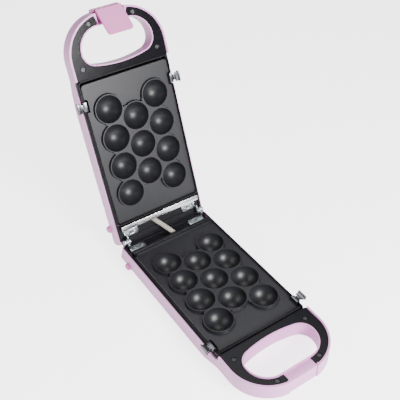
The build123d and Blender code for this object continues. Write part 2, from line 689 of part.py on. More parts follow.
def indicator_lens():
    """The dark glossy lens, seated through the shell."""
    lens = rod(LENS_RADIUS, (0, LENS_Y, -BODY_DEPTH - 1.0), (0, LENS_Y, -BODY_DEPTH + 2.2))
    return fillet(lens.edges().group_by(Axis.Z)[0], 0.7)


def indicator_lamps():
    """A small board behind the lens with two lamps on it."""
    low = -FRAME_FLOOR - FRAME_WALL
    board = block(-8, 8, LENS_Y - 6, LENS_Y + 6, low - 0.7, low)
    lamps = [block(x - 1.5, x + 1.5, LENS_Y - 1.2, LENS_Y + 1.2, low - 1.5, low - 0.7) for x in (-4, 4)]
    return merged(board, *lamps)


def badge():
    """A plain oval badge near the hinge."""
    length, width, thick = BADGE_SIZE
    return Pos(0, BADGE_Y, -BODY_DEPTH - thick) * extrude(SlotOverall(length, width), thick)


def thermostat():
    """The bimetal cut-out: a metal cup with two terminals."""
    x, y = THERMOSTAT_PLACE
    low, rim, collar_top, blade_top = -26.6, -20.0, -18.8, -12.6
    cup = rod(6.5, (x, y, low), (x, y, rim))
    collar = rod(7.8, (x, y, rim), (x, y, collar_top))
    blades = [block(x + dx - 1.6, x + dx + 1.6, y - 3.6, y - 3.0, collar_top, blade_top) for dx in (-4, 4)]
    return merged(cup, collar, *blades)


def thermal_fuse():
    """The one-shot fuse in its sleeve, with a lead at each end."""
    start_x, end_x, lead = 14, 38, 4
    body = rod(2.4, (start_x, FUSE_Y, FUSE_Z), (end_x, FUSE_Y, FUSE_Z))
    left_lead = rod(1.2, (start_x - lead, FUSE_Y, FUSE_Z), (start_x, FUSE_Y, FUSE_Z))
    right_lead = rod(1.2, (end_x, FUSE_Y, FUSE_Z), (end_x + lead, FUSE_Y, FUSE_Z))
    return merged(body, left_lead, right_lead)


def terminal_block():
    """The ceramic block where the mains wires are joined."""
    low, high = TERMINAL_Z
    body = block(-13, 13, -8, 1, low, high)
    middle = (low + high) / 2
    for x in (-7, 7):
        body = body - rod(1.8, (x, -20, middle), (x, 10, middle))
    return body


def cord_bushing():
    """The rubber bushing that the mains cord passes through."""
    sleeve = rod(BUSHING_RADIUS, (0, 3.0, CORD_Z), (0, 13.6, CORD_Z))
    return sleeve - rod(CORD_BORE, (0, 0, CORD_Z), (0, 20, CORD_Z))


def wire_sleeve():
    """The braided sleeve that carries the lid heater's wires across the hinge."""
    route = FilletPolyline(*SLEEVE_ROUTE, radius=SLEEVE_BEND)
    start = Plane(origin=route @ 0, z_dir=route % 0)
    return sweep(start * Circle(SLEEVE_RADIUS), path=route)


def rubber_feet():
    """Two soft feet under the handle end of the body."""
    pieces = []
    for sx in (-1, 1):
        place = Pos(sx * RUBBER_FOOT_X, RUBBER_FOOT_Y, -BODY_DEPTH - FOOT_BAR_DROP)
        foot = place * Cylinder(
            RUBBER_FOOT_RADIUS, FOOT_BAR_DROP, align=(Align.CENTER, Align.CENTER, Align.MIN)
        )
        pieces.append(foot)
    return pieces


# ---------------------------------------------------------------- placing and writing


def in_frame(piece):
    """Lifted from the hinge's own frame into the part's frame."""
    return Pos(0, HINGE_Y, HINGE_Z) * piece


def opened(piece):
    """Turned from the closed pose to the open one, about the hinge line."""
    return piece.rotate(Axis.X, -OPEN_ANGLE)


def add(name, pieces, lid=False, drawn_as_lid=False):
    """Files one node: base pieces stay, lid pieces are mirrored unless drawn in place, and opened."""
    placed = []
    for piece in pieces if isinstance(pieces, list) else [pieces]:
        if lid and not drawn_as_lid:
            piece = mirror(piece, Plane.XY)
        placed.append(in_frame(opened(piece) if lid else piece))
    nodes[name] = placed


for half_name, is_lid, clip_y in (("base", False, BASE_CLIP_Y), ("lid", True, LID_CLIP_Y)):
    ear_x, hole = (LID_EAR_X, PIN_RADIUS + 0.05) if is_lid else (BASE_EAR_X, PIN_RADIUS)
    notch = SADDLE_HALF_WIDTH + 0.2
    add(half_name + "_shell", lid_shell() if is_lid else base_shell(), is_lid)
    add(half_name + "_handle_liner", handle_liner(notch), is_lid)
    add(half_name + "_liner_screws", liner_screws(), is_lid)
    add(half_name + "_plate", plate(clip_y), is_lid)
    add(half_name + "_inner_frame", inner_frame(clip_y), is_lid)
    add(half_name + "_heating_element", heating_element(), is_lid)
    right_clip, left_clip = both_sides(clip(clip_y))
    add(half_name + "_clip_right", right_clip, is_lid)
    add(half_name + "_clip_left", left_clip, is_lid)
    right_bracket, left_bracket = both_sides(bracket(ear_x, hole))
    add(half_name + "_hinge_bracket_right", right_bracket, is_lid)
    add(half_name + "_hinge_bracket_left", left_bracket, is_lid)
    add(half_name + "_bracket_rivets", bracket_rivets(), is_lid)
    add(half_name + "_foot_bar", foot_bar(), is_lid)

add("lid_retaining_strip", lid_retaining_strip(), True)
add("base_retaining_bar", base_retaining_bar())
right_pin, left_pin = both_sides(hinge_pin())
add("hinge_pin_right", right_pin)
add("hinge_pin_left", left_pin)
add("hinge_springs", both_sides(hinge_spring()))
add("latch", latch(), True, drawn_as_lid=True)
add("latch_pin", latch_pin(), True, drawn_as_lid=True)
add("latch_block", latch_block(), True, drawn_as_lid=True)
add("indicator_bezel", indicator_bezel(), True)
add("indicator_lens", indicator_lens(), True)
add("indicator_lamps", indicator_lamps(), True)
add("badge", badge(), True)
add("thermostat", thermostat())
add("thermal_fuse", thermal_fuse())
add("terminal_block", terminal_block())
add("cord_bushing", cord_bushing())
add("rubber_feet", rubber_feet())
add("wire_sleeve", wire_sleeve())

os.makedirs("parts", exist_ok=True)
for name, pieces in nodes.items():
    solids = [solid for piece in pieces for solid in piece.solids()]
    whole = solids[0] if len(solids) == 1 else Compound(children=solids)
    whole.label = name
    export_step(whole, "parts/" + name + ".step")
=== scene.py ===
import json
from math import atan2, cos, degrees, hypot, pi, radians, sin, sqrt

import bmesh
import bpy
from mathutils import Matrix, Vector


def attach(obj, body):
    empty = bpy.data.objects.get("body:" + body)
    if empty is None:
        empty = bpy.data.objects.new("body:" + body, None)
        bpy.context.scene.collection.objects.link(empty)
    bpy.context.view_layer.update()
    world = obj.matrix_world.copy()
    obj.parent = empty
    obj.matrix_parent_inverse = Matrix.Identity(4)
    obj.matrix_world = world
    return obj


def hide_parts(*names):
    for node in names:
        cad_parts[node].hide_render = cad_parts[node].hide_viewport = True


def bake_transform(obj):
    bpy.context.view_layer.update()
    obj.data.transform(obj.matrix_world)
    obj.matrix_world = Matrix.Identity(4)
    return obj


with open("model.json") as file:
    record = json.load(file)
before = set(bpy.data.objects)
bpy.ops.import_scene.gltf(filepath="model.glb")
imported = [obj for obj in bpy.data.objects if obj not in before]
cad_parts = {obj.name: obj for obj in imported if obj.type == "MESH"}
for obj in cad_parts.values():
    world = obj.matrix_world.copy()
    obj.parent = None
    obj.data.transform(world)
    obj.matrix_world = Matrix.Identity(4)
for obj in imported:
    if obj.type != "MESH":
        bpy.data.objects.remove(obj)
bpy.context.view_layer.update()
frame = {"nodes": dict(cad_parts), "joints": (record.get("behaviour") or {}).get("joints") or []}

# ------------------------------------------------------------------ camera, floor and light
# The maker lies open on a pale table top and is seen from its front left corner, well above it.
# Three soft boxes stand round it. The table top and the backdrop look nearly white, but throw little
# light up at the maker, so that its sides keep their shade.

lid_hinge = next(joint for joint in frame["joints"] if joint["name"] == "lid_hinge")
HINGE = Vector(lid_hinge["pos_m"])
OPEN = radians(lid_hinge["range_deg"][1])

lens = bpy.data.cameras.new("camera")
lens.lens = 59.2
lens.sensor_width = 36.0
VIEW_AIM = Vector((0.0657, 0.0152, 0.0009))
VIEW_DISTANCE = 0.885
VIEW_TURN, VIEW_HEIGHT, VIEW_ROLL = -32.48, 39.54, -1.88
camera = bpy.data.objects.new("camera", lens)
bpy.context.scene.collection.objects.link(camera)
look = (
    Matrix.Rotation(radians(VIEW_TURN), 4, "Z")
    @ Matrix.Rotation(radians(90 - VIEW_HEIGHT), 4, "X")
    @ Matrix.Rotation(radians(VIEW_ROLL), 4, "Z")
)
camera.matrix_world = Matrix.Translation(HINGE + VIEW_AIM) @ look @ Matrix.Translation((0, 0, VIEW_DISTANCE))
bpy.context.scene.camera = camera

floor_bm = bmesh.new()
bmesh.ops.create_grid(floor_bm, x_segments=1, y_segments=1, size=6.0)
floor_mesh = bpy.data.meshes.new("floor")
floor_bm.to_mesh(floor_mesh)
floor_bm.free()
floor = bpy.data.objects.new("floor", floor_mesh)
bpy.context.scene.collection.objects.link(floor)
table_top = bpy.data.materials.new("table_top")
table_top.use_nodes = True
table_shader = table_top.node_tree.nodes["Principled BSDF"]
table_shader.inputs["Base Color"].default_value = (0.93, 0.93, 0.93, 1)
table_shader.inputs["Roughness"].default_value = 0.7
table_shader.inputs["Emission Color"].default_value = (1.0, 1.0, 1.0, 1)
table_shader.inputs["Emission Strength"].default_value = 0.55
table_glow = table_top.node_tree.nodes.new("ShaderNodeEmission")
table_glow.inputs["Strength"].default_value = 2.4
glowing_top = table_top.node_tree.nodes.new("ShaderNodeAddShader")
table_choice = table_top.node_tree.nodes.new("ShaderNodeMixShader")
table_ray = table_top.node_tree.nodes.new("ShaderNodeLightPath")
join = table_top.node_tree.links.new
join(table_shader.outputs["BSDF"], glowing_top.inputs[0])
join(table_glow.outputs["Emission"], glowing_top.inputs[1])
join(table_ray.outputs["Is Camera Ray"], table_choice.inputs["Fac"])
join(table_shader.outputs["BSDF"], table_choice.inputs[1])
join(glowing_top.outputs["Shader"], table_choice.inputs[2])
join(table_choice.outputs["Shader"], table_top.node_tree.nodes["Material Output"].inputs["Surface"])
floor_mesh.materials.append(table_top)

world = bpy.data.worlds.new("studio")
world.use_nodes = True
world.node_tree.nodes["Background"].inputs["Color"].default_value = (1.0, 1.0, 1.0, 1)
fill_light = world.node_tree.nodes["Background"]
fill_light.inputs["Strength"].default_value = 0.26
backdrop = world.node_tree.nodes.new("ShaderNodeBackground")
backdrop.inputs["Strength"].default_value = 3.0
world_choice = world.node_tree.nodes.new("ShaderNodeMixShader")
world_ray = world.node_tree.nodes.new("ShaderNodeLightPath")
join = world.node_tree.links.new
join(world_ray.outputs["Is Camera Ray"], world_choice.inputs["Fac"])
join(fill_light.outputs["Background"], world_choice.inputs[1])
join(backdrop.outputs["Background"], world_choice.inputs[2])
join(world_choice.outputs["Shader"], world.node_tree.nodes["World Output"].inputs["Surface"])
bpy.context.scene.world = world


def soft_box(name, direction, distance, width, height, watts):
    """A rectangular area light that faces the hinge from one direction."""
    light = bpy.data.lights.new(name, "AREA")
    light.shape = "RECTANGLE"
    light.size = width
    light.size_y = height
    light.energy = watts
    box = bpy.data.objects.new(name, light)
    place = HINGE + Vector(direction).normalized() * distance
    turn = Vector(direction).to_track_quat("Z", "Y").to_matrix().to_4x4()
    box.matrix_world = Matrix.Translation(place) @ turn
    bpy.context.scene.collection.objects.link(box)


soft_box("front_box", (0.08, -0.88, 0.45), 1.3, 0.5, 0.4, 34)
soft_box("top_box", (0.3, 0.2, 1.0), 1.5, 0.9, 0.9, 8)
soft_box("left_box", (-1.0, 0.1, 0.8), 0.9, 0.5, 0.6, 4)

# ------------------------------------------------------------------ wire sleeve
# A braided heat-resistant sleeve carries the lid heater's wires over the hinge. It is held inside
# both halves, and only its loop between them shows.

SLEEVE_RADIUS = 0.003
BRAID_FINENESS = 260
SLEEVE_ROUTE = ((-13.0, 15.6, 12.0), (-9.5, 8.0, 10.0), (5.5, -11.0, -4.4), (11.0, -17.0, -12.0))


def braid():
    """Beige glass-fibre braid: two crossing sets of fine ribs, with painted shade darkening the gaps between
    them.
    """
    material = bpy.data.materials.new("glass_braid")
    material.use_nodes = True
    nodes = material.node_tree.nodes
    links = material.node_tree.links
    shader = nodes["Principled BSDF"]
    shader.inputs["Roughness"].default_value = 0.75
    shader.inputs["Sheen Weight"].default_value = 0.3
    place = nodes.new("ShaderNodeTexCoord")
    ribs = []
    for direction in ("X", "Z"):
        rib = nodes.new("ShaderNodeTexWave")
        rib.bands_direction = direction
        rib.inputs["Scale"].default_value = BRAID_FINENESS
        rib.inputs["Distortion"].default_value = 0.6
        links.new(place.outputs["Object"], rib.inputs["Vector"])
        ribs.append(rib)
    cross = nodes.new("ShaderNodeMath")
    cross.operation = "MULTIPLY"
    links.new(ribs[0].outputs["Fac"], cross.inputs[0])
    links.new(ribs[1].outputs["Fac"], cross.inputs[1])
    # Painted shade: the colour turns dark where the ribs sink, as if shade lay in the gaps between them.
    rib_colour_and_gap_shade = nodes.new("ShaderNodeValToRGB")
    rib_colour_and_gap_shade.color_ramp.elements[0].color = (0.25, 0.22, 0.18, 1)
    rib_colour_and_gap_shade.color_ramp.elements[1].color = (0.72, 0.67, 0.58, 1)
    links.new(cross.outputs[0], rib_colour_and_gap_shade.inputs["Fac"])
    links.new(rib_colour_and_gap_shade.outputs["Color"], shader.inputs["Base Color"])
    bump = nodes.new("ShaderNodeBump")
    bump.inputs["Strength"].default_value = 0.6
    bump.inputs["Distance"].default_value = 0.0004
    links.new(cross.outputs[0], bump.inputs["Height"])
    links.new(bump.outputs["Normal"], shader.inputs["Normal"])
    return material


line = bpy.data.curves.new("wire_sleeve_line", "CURVE")
line.dimensions = "3D"
line.resolution_u = 10
line.bevel_depth = SLEEVE_RADIUS
line.bevel_resolution = 6
line.use_fill_caps = True
run = line.splines.new("NURBS")
run.points.add(len(SLEEVE_ROUTE) - 1)
for point, (x, y, z) in zip(run.points, SLEEVE_ROUTE):
    point.co = (*(HINGE + Vector((x, y, z)) * 0.001), 1)
run.order_u = 3
run.use_endpoint_u = True
guide = bpy.data.objects.new("sleeve_guide", line)
bpy.context.scene.collection.objects.link(guide)
bpy.context.view_layer.update()
sleeve_mesh = bpy.data.meshes.new_from_object(guide.evaluated_get(bpy.context.evaluated_depsgraph_get()))
bpy.data.objects.remove(guide)
for face in sleeve_mesh.polygons:
    face.use_smooth = True
sleeve_mesh.materials.clear()
sleeve_mesh.materials.append(braid())
sleeve = bpy.data.objects.new("braided_sleeve", sleeve_mesh)
bpy.context.scene.collection.objects.link(sleeve)
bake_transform(sleeve)
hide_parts("wire_sleeve")

# ------------------------------------------------------------------ outer shells
# Each half is one pale lilac-pink gloss moulding: a shallow tray with rounded outer edges, a low rim
# beside the plate, and a handle loop round the hand hole. A half is drawn closed, in millimetres,
# with its outer face up, the hinge line on the X axis and the handle towards -Y.

BODY_HALF = 62.1
HANDLE_HALF = 61.5
HANDLE_END = -276.4
HANDLE_CORNER = 48.0
REAR_END = 14.2
REAR_CORNER = 9.0
BODY_DEPTH = 30.0
HANDLE_DEPTH = 20.0
BODY_ROUND = 14.0
HANDLE_ROUND = 11.0
ROLLED_EDGE = 8.5
HOLE_ROUND = 2.0
SHELL_WALL = 2.2
MEETING = 0.3
SIDE_RIM = 6.4
REAR_RIM = 8.2
REAR_RIM_HALF = 59.3
HANDLE_START = -209.0
SLOPE = (-213, -177)
CROWN = 0.7
SADDLE_HALF = 17.8
SADDLE_RIM = {"base": 1.6, "lid": 8.4}
CLIP_MIDDLE = {"base": -192.5, "lid": -178.8}
CLIP_OPENING = (-13.0, 9.0)
CLIP_OPENING_DEPTH = 9.0
HOLE_BOW = ((0, -359.5), 141.9)
HOLE_TURN = ((29.3, -236.54), 15.5)
HOLE_CORNER = ((19.8, -237.0), 25.0)
HOLE_FRONT = -262.0
BOW_END = 76.6
BIB_HALF, BIB_LENGTH, BIB_CORNER, BIB_MIDDLE, BIB_DEPTH = 47.0, 58.0, 26.0, -231.0, 1.1
OPEN_STOP = 0.717
OPEN_GAP = 0.6


def blend_between(value, low, high):
    """0 below low, 1 above high, and a smooth step in between."""
    t = min(1.0, max(0.0, (value - low) / (high - low)))
    return t * t * (3 - 2 * t)


def arc(centre, radius, start, end, steps):
    """Points along an arc, angles in degrees."""
    turns = [radians(start + (end - start) * k / steps) for k in range(steps + 1)]
    return [(centre[0] + radius * cos(a), centre[1] + radius * sin(a)) for a in turns]


def mirrored_loop(right):
    """A closed outline from its right-hand side, which runs from the rear to the front."""
    left = [(-x, y) for x, y in reversed(right) if abs(x) > 0.01]
    return right + left


def shell_outline(half):
    """The moulding seen from above, with a pair of close points at each step of its rim."""
    middle = CLIP_MIDDLE[half]
    points = [(0, REAR_END), (14, REAR_END), (32, REAR_END)]
    corner = (BODY_HALF - REAR_CORNER, REAR_END - REAR_CORNER)
    points += arc(corner, REAR_CORNER, 90, 48.0, 5) + arc(corner, REAR_CORNER, 45.0, 0, 5)
    stops = [-12 - 12 * k for k in range(14)]
    for edge in (middle + CLIP_OPENING[1], middle + CLIP_OPENING[0], HANDLE_START):
        stops = [y for y in stops if abs(y - edge) > 3.0] + [edge + 0.1, edge - 0.1]
    for y in sorted(stops, reverse=True):
        narrowing = (BODY_HALF - HANDLE_HALF) * blend_between(-y, 178, 212)
        points.append((BODY_HALF - narrowing, y))
    points.append((HANDLE_HALF, -218))
    corner = (HANDLE_HALF - HANDLE_CORNER, HANDLE_END + HANDLE_CORNER)
    front = arc(corner, HANDLE_CORNER, 0, -90, 20)
    points += [p for p in front if abs(p[0] - SADDLE_HALF) > 1.2]
    points = [p for p in points if p[0] > SADDLE_HALF + 0.5 or p[1] > -200]
    points += [(SADDLE_HALF + 0.1, HANDLE_END + 0.2), (SADDLE_HALF - 0.1, HANDLE_END + 0.2)]
    points += [(12, HANDLE_END), (5, HANDLE_END), (0, HANDLE_END)]
    return mirrored_loop(points)


def hand_hole(grow=0.0):
    """The hand hole: straight along the grip, rounded at its ends, bowed towards the body."""
    points = arc(HOLE_BOW[0], HOLE_BOW[1] + grow, 90, BOW_END, 6)
    points += arc(HOLE_TURN[0], HOLE_TURN[1] + grow, BOW_END, 0, 9)[1:]
    points += arc(HOLE_CORNER[0], HOLE_CORNER[1] + grow, 0, -90, 13)
    points += [(10, HOLE_FRONT - grow), (0, HOLE_FRONT - grow)]
    return mirrored_loop(points)


def bib(x, y):
    """1 inside the shallow U-shaped panel below the hand hole, 0 outside it."""
    dx = max(abs(x) - BIB_HALF + BIB_CORNER, 0.0)
    dy = max(abs(y - BIB_MIDDLE) - BIB_LENGTH + BIB_CORNER, 0.0)
    outside = hypot(dx, dy) - BIB_CORNER
    return (1 - blend_between(outside, -2.6, 0.8)) * blend_between(y, -222, -206)


def outer_height(x, y):
    """How far the outer face stands from the meeting plane: grip, slope, then a crowned body."""
    fuller = blend_between(y, *SLOPE)
    height = HANDLE_DEPTH + (BODY_DEPTH - HANDLE_DEPTH) * fuller
    crown = CROWN * fuller * (x / BODY_HALF) ** 2
    return height - crown - BIB_DEPTH * bib(x, y)


def rim_height(half, x, y):
    """Where the moulding's rim lies under the meeting plane."""
    middle = CLIP_MIDDLE[half]
    if y < -260 and abs(x) < SADDLE_HALF:
        return SADDLE_RIM[half]
    if y < HANDLE_START:
        return MEETING
    if middle + CLIP_OPENING[0] < y < middle + CLIP_OPENING[1]:
        return CLIP_OPENING_DEPTH
    if y > 0 and abs(x) < REAR_RIM_HALF:
        return REAR_RIM
    return SIDE_RIM


def ring_edges(verts):
    """The edges that join these vertices to each other."""
    chosen = set(verts)
    return [e for v in verts for e in v.link_edges if e.other_vert(v) in chosen and e.verts[0] == v]


def add_loop(bm, points, z=0.0):
    """A closed ring of edges through the points."""
    verts = [bm.verts.new((x, y, z)) for x, y in points]
    for a, b in zip(verts, verts[1:] + verts[:1]):
        bm.edges.new((a, b))
    return verts


def add_slab(bm, x0, x1, y0, y1, z0, z1):
    """A box between two corners, as an island of its own."""
    size = Matrix.Diagonal((x1 - x0, y1 - y0, z1 - z0, 1))
    middle = Matrix.Translation(((x0 + x1) / 2, (y0 + y1) / 2, (z0 + z1) / 2))
    return bmesh.ops.create_cube(bm, size=1.0, matrix=middle @ size)["verts"]


def shell_half(half):
    """One moulding: outer face, rolled edge, side walls and the tube of the hand hole."""
    bm = bmesh.new()
    inward = bm.verts.layers.float.new("inward")
    outline = add_loop(bm, shell_outline(half))
    face = bm.faces.new(outline)
    if face.normal.z < 0:
        face.normal_flip()
    steps = 8
    reached = 0.0
    for k in range(1, steps + 1):
        level = ROLLED_EDGE * (k / steps) ** 1.6
        bmesh.ops.inset_region(bm, faces=[face], thickness=level - reached, use_even_offset=True)
        reached = level
        for v in face.verts:
            v[inward] = level
    inner = list(face.verts)
    inner_edges = list(face.edges)
    bmesh.ops.delete(bm, geom=[face], context="FACES_ONLY")
    rings = []
    for k in range(5):
        turn = pi / 2 * k / 4
        ring = add_loop(bm, hand_hole(HOLE_ROUND * (1 - sin(turn))))
        rings.append((ring, HOLE_ROUND * (1 - cos(turn))))
    for (a, _), (b, _) in zip(rings, rings[1:]):
        bmesh.ops.bridge_loops(bm, edges=ring_edges(a) + ring_edges(b))
    for ring, drop in rings:
        for v in ring:
            v[inward] = -1.0 - drop
    grid = bmesh.ops.create_grid(bm, x_segments=48, y_segments=102, size=0.5)["verts"]
    spread = Matrix.Translation((0, -105.5, 0)) @ Matrix.Diagonal((101, 206, 1, 1))
    bmesh.ops.transform(bm, verts=grid, matrix=spread)
    for v in grid:
        v[inward] = min(BODY_HALF - abs(v.co.x), REAR_END - v.co.y)
    inside = set(grid)
    grid_edges = [e for e in bm.edges if e.is_boundary and e.verts[0] in inside and e.verts[1] in inside]
    fill_edges = inner_edges + ring_edges(rings[0][0]) + grid_edges
    bmesh.ops.triangle_fill(bm, use_beauty=True, edges=fill_edges, normal=(0, 0, 1))
    for v in bm.verts:
        round_size = HANDLE_ROUND + (BODY_ROUND - HANDLE_ROUND) * blend_between(v.co.y, *SLOPE)
        v.co.z = outer_height(v.co.x, v.co.y)
        if 0 <= v[inward] < round_size:
            v.co.z -= round_size - sqrt(round_size**2 - (round_size - v[inward]) ** 2)
        if -6 < v[inward] < -0.9:
            v.co.z -= -1.0 - v[inward]
    bmesh.ops.recalc_face_normals(bm, faces=bm.faces)
    if sum(f.normal.z * f.calc_area() for f in bm.faces) < 0:
        bmesh.ops.reverse_faces(bm, faces=bm.faces)
    wall = bmesh.ops.extrude_edge_only(bm, edges=ring_edges(outline))["geom"]
    for v in (g for g in wall if isinstance(g, bmesh.types.BMVert)):
        v.co.z = rim_height(half, v.co.x, v.co.y)
    tube = bmesh.ops.extrude_edge_only(bm, edges=ring_edges(rings[-1][0]))["geom"]
    tube_rim = [g for g in tube if isinstance(g, bmesh.types.BMVert)]
    for v in tube_rim:
        v.co.z = 1.6 if half == "lid" and v.co.y < -255 and abs(v.co.x) < SADDLE_HALF else MEETING
    for v in bm.verts:
        if v.co.y > -12.0 and v.co.z < 21.1:
            stop = min(OPEN_STOP * v.co.z - OPEN_GAP, REAR_END)
            v.co.y = -12.0 + (v.co.y + 12.0) * (stop + 12.0) / (REAR_END + 12.0)
    for v in bm.verts:
        if abs(v.co.x) < SADDLE_HALF and v.co.y < -270:
            v.co.y += 1.2
    return bm, tube_rim + rings[-1][0]


def seat(bm, half):
    """Moves a half drawn closed, in millimetres, onto the base, or onto the lid as it stands open."""
    turn = Matrix.Diagonal((1, 1, -1, 1)) if half == "base" else Matrix.Rotation(-OPEN, 4, "X")
    bmesh.ops.transform(bm, matrix=Matrix.Translation(HINGE) @ Matrix.Scale(0.001, 4) @ turn, verts=bm.verts)
    if half == "base":
        bmesh.ops.reverse_faces(bm, faces=bm.faces)


def make_piece(name, bm, material, body, slot, *nodes):
    """Turns a mesh into a named piece that rides on a body and stands for its CAD nodes."""
    mesh = bpy.data.meshes.new(name)
    for face in bm.faces:
        face.smooth = True
    bm.to_mesh(mesh)
    bm.free()
    mesh.materials.append(material)
    piece = bpy.data.objects.new(name, mesh)
    bpy.context.scene.collection.objects.link(piece)
    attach(piece, body)
    if nodes:
        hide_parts(*nodes)
    return piece


def soften(piece, width, segments=2, angle=35):
    """Rounds the piece's sharp edges, in millimetres, and keeps its flat faces flat in shading."""
    bevel = piece.modifiers.new("soft_edges", "BEVEL")
    bevel.width = width * 0.001
    bevel.segments = segments
    bevel.limit_method = "ANGLE"
    bevel.angle_limit = radians(angle)
    bevel.harden_normals = True
    bevel.use_clamp_overlap = True


def finish(
    name,
    colour,
    roughness,
    metallic=0.0,
    coat=0.0,
    shift=0.06,
    grain=900,
    relief=0.02,
    rough_shift=0.08,
    shine=0.5,
):
    """A surface whose colour and gloss wander slightly, with a fine moulded or cast relief."""
    material = bpy.data.materials.new(name)
    material.use_nodes = True
    nodes = material.node_tree.nodes
    links = material.node_tree.links
    shader = nodes["Principled BSDF"]
    shader.inputs["Metallic"].default_value = metallic
    shader.inputs["Specular IOR Level"].default_value = shine
    shader.inputs["Coat Weight"].default_value = coat
    shader.inputs["Coat Roughness"].default_value = 0.09
    place = nodes.new("ShaderNodeTexCoord")
    broad = nodes.new("ShaderNodeTexNoise")
    broad.inputs["Scale"].default_value = 14
    broad.inputs["Detail"].default_value = 3
    links.new(place.outputs["Object"], broad.inputs["Vector"])
    tint = nodes.new("ShaderNodeValToRGB")
    tint.color_ramp.elements[0].position = 0.3
    tint.color_ramp.elements[1].position = 0.7
    tint.color_ramp.elements[0].color = (*[c * (1 - shift) for c in colour], 1)
    tint.color_ramp.elements[1].color = (*[min(1.0, c * (1 + shift)) for c in colour], 1)
    links.new(broad.outputs["Fac"], tint.inputs["Fac"])
    links.new(tint.outputs["Color"], shader.inputs["Base Color"])
    fine = nodes.new("ShaderNodeTexNoise")
    fine.inputs["Scale"].default_value = grain
    fine.inputs["Detail"].default_value = 2
    links.new(place.outputs["Object"], fine.inputs["Vector"])
    gloss = nodes.new("ShaderNodeMapRange")
    gloss.inputs["To Min"].default_value = max(0.02, roughness - rough_shift)
    gloss.inputs["To Max"].default_value = roughness + rough_shift
    links.new(fine.outputs["Fac"], gloss.inputs["Value"])
    links.new(gloss.outputs["Result"], shader.inputs["Roughness"])
    bump = nodes.new("ShaderNodeBump")
    bump.inputs["Strength"].default_value = relief
    bump.inputs["Distance"].default_value = 0.001
    links.new(fine.outputs["Fac"], bump.inputs["Height"])
    links.new(bump.outputs["Normal"], shader.inputs["Normal"])
    return material


PINK = finish("pale_pink_gloss", (0.72, 0.32, 0.64), 0.3, coat=0.35, shift=0.012, grain=700, relief=0.012)

for half in ("base", "lid"):
    bm, thin = shell_half(half)
    bm.verts.index_update()
    thin_index = [v.index for v in thin]
    seat(bm, half)
    shell = make_piece(half + "_moulding", bm, PINK, half, "shell_pink", half + "_shell")
    group = shell.vertex_groups.new(name="full_wall")
    others = sorted(set(range(len(shell.data.vertices))) - set(thin_index))
    group.add(others, 1.0, "REPLACE")
    wall = shell.modifiers.new("wall", "SOLIDIFY")
    wall.thickness = SHELL_WALL * 0.001
    wall.offset = -1.0
    wall.use_even_offset = True
    wall.vertex_group = "full_wall"
    wall.thickness_vertex_group = 0.68
    soften(shell, 0.45, angle=50)

# Inside the grip's front the base has a pale saddle that the latch closes over, sloped towards the
# hand hole. The lid has a deep pocket there, with a floor that the latch's barrel turns above.

for half in ("base", "lid"):
    bm = bmesh.new()
    if half == "base":
        verts = add_slab(bm, -SADDLE_HALF + 0.1, SADDLE_HALF - 0.1, HANDLE_END + 1.5, -262.4, 1.45, 17.5)
        for v in verts:
            if v.co.y > -265 and v.co.z < 5:
                v.co.z += 1.6
        bmesh.ops.bisect_plane(
            bm, geom=bm.verts[:] + bm.edges[:] + bm.faces[:], plane_co=(0, -266.4, 0), plane_no=(0, 1, 0)
        )
        for v in bm.verts:
            if -267 < v.co.y < -266 and v.co.z < 5:
                v.co.z = 1.45
    else:
        add_slab(bm, -SADDLE_HALF - 1.5, SADDLE_HALF + 1.5, HANDLE_END + 1.6, -262.3, 8.4, 17.5)
        add_slab(bm, -SADDLE_HALF - 1.5, SADDLE_HALF + 1.5, -265.4, -262.3, 3.4, 9.0)
    bmesh.ops.recalc_face_normals(bm, faces=bm.faces)
    seat(bm, half)
    saddle = make_piece(half + "_saddle", bm, PINK, half, "shell_pink")
    soften(saddle, 0.5)

# ------------------------------------------------------------------ handle liners and screws
# A black semi-gloss panel closes each handle loop. Four countersunk screws with cross recesses
# hold it, each in a raised ring.

BLACK = finish("black_liner", (0.004, 0.004, 0.006), 0.22, shine=0.14, shift=0.1, grain=500, relief=0.03)
SCREW_BLACK = finish(
    "blackened_screw", (0.05, 0.05, 0.055), 0.35, metallic=0.8, shift=0.2, grain=1500, relief=0.1
)
LINER_SCREWS = ((28.0, -266.3), (48.5, -220.0), (-28.0, -266.3), (-48.5, -220.0))
LINER_BACK = -208.1
LINER_SINK = 1.6
LINER_THICK = 2.0
SCREW_SEAT = 2.9
RING_RADIUS = 3.5
RING_WIDTH = 0.9
RING_LEVEL = 1.35
SLOT_LONG, SLOT_WIDE = 1.35, 0.28
SLOT_LEVELS = (2.02, 2.5)


def liner_outline():
    """The panel: straight at the body, round the grip, and open where the latch sits."""
    half_width, front, corner = 59.0, -274.0, 45.6
    notch = SADDLE_HALF + 0.3
    outer = [(half_width, LINER_BACK), (half_width, -220)]
    outer += arc((half_width - corner, front + corner), corner, 0, -90, 16)
    outer = [p for p in outer if p[0] > notch + 0.4 or p[1] > -215] + [(notch, front)]
    inner = [p for p in hand_hole(1.75) if p[0] > -0.01]
    inner = [p for p in inner if p[0] > notch + 0.3 or p[1] > -240]
    return [(0, LINER_BACK), (30, LINER_BACK)] + outer + [(notch, -263.9)] + inner[::-1]


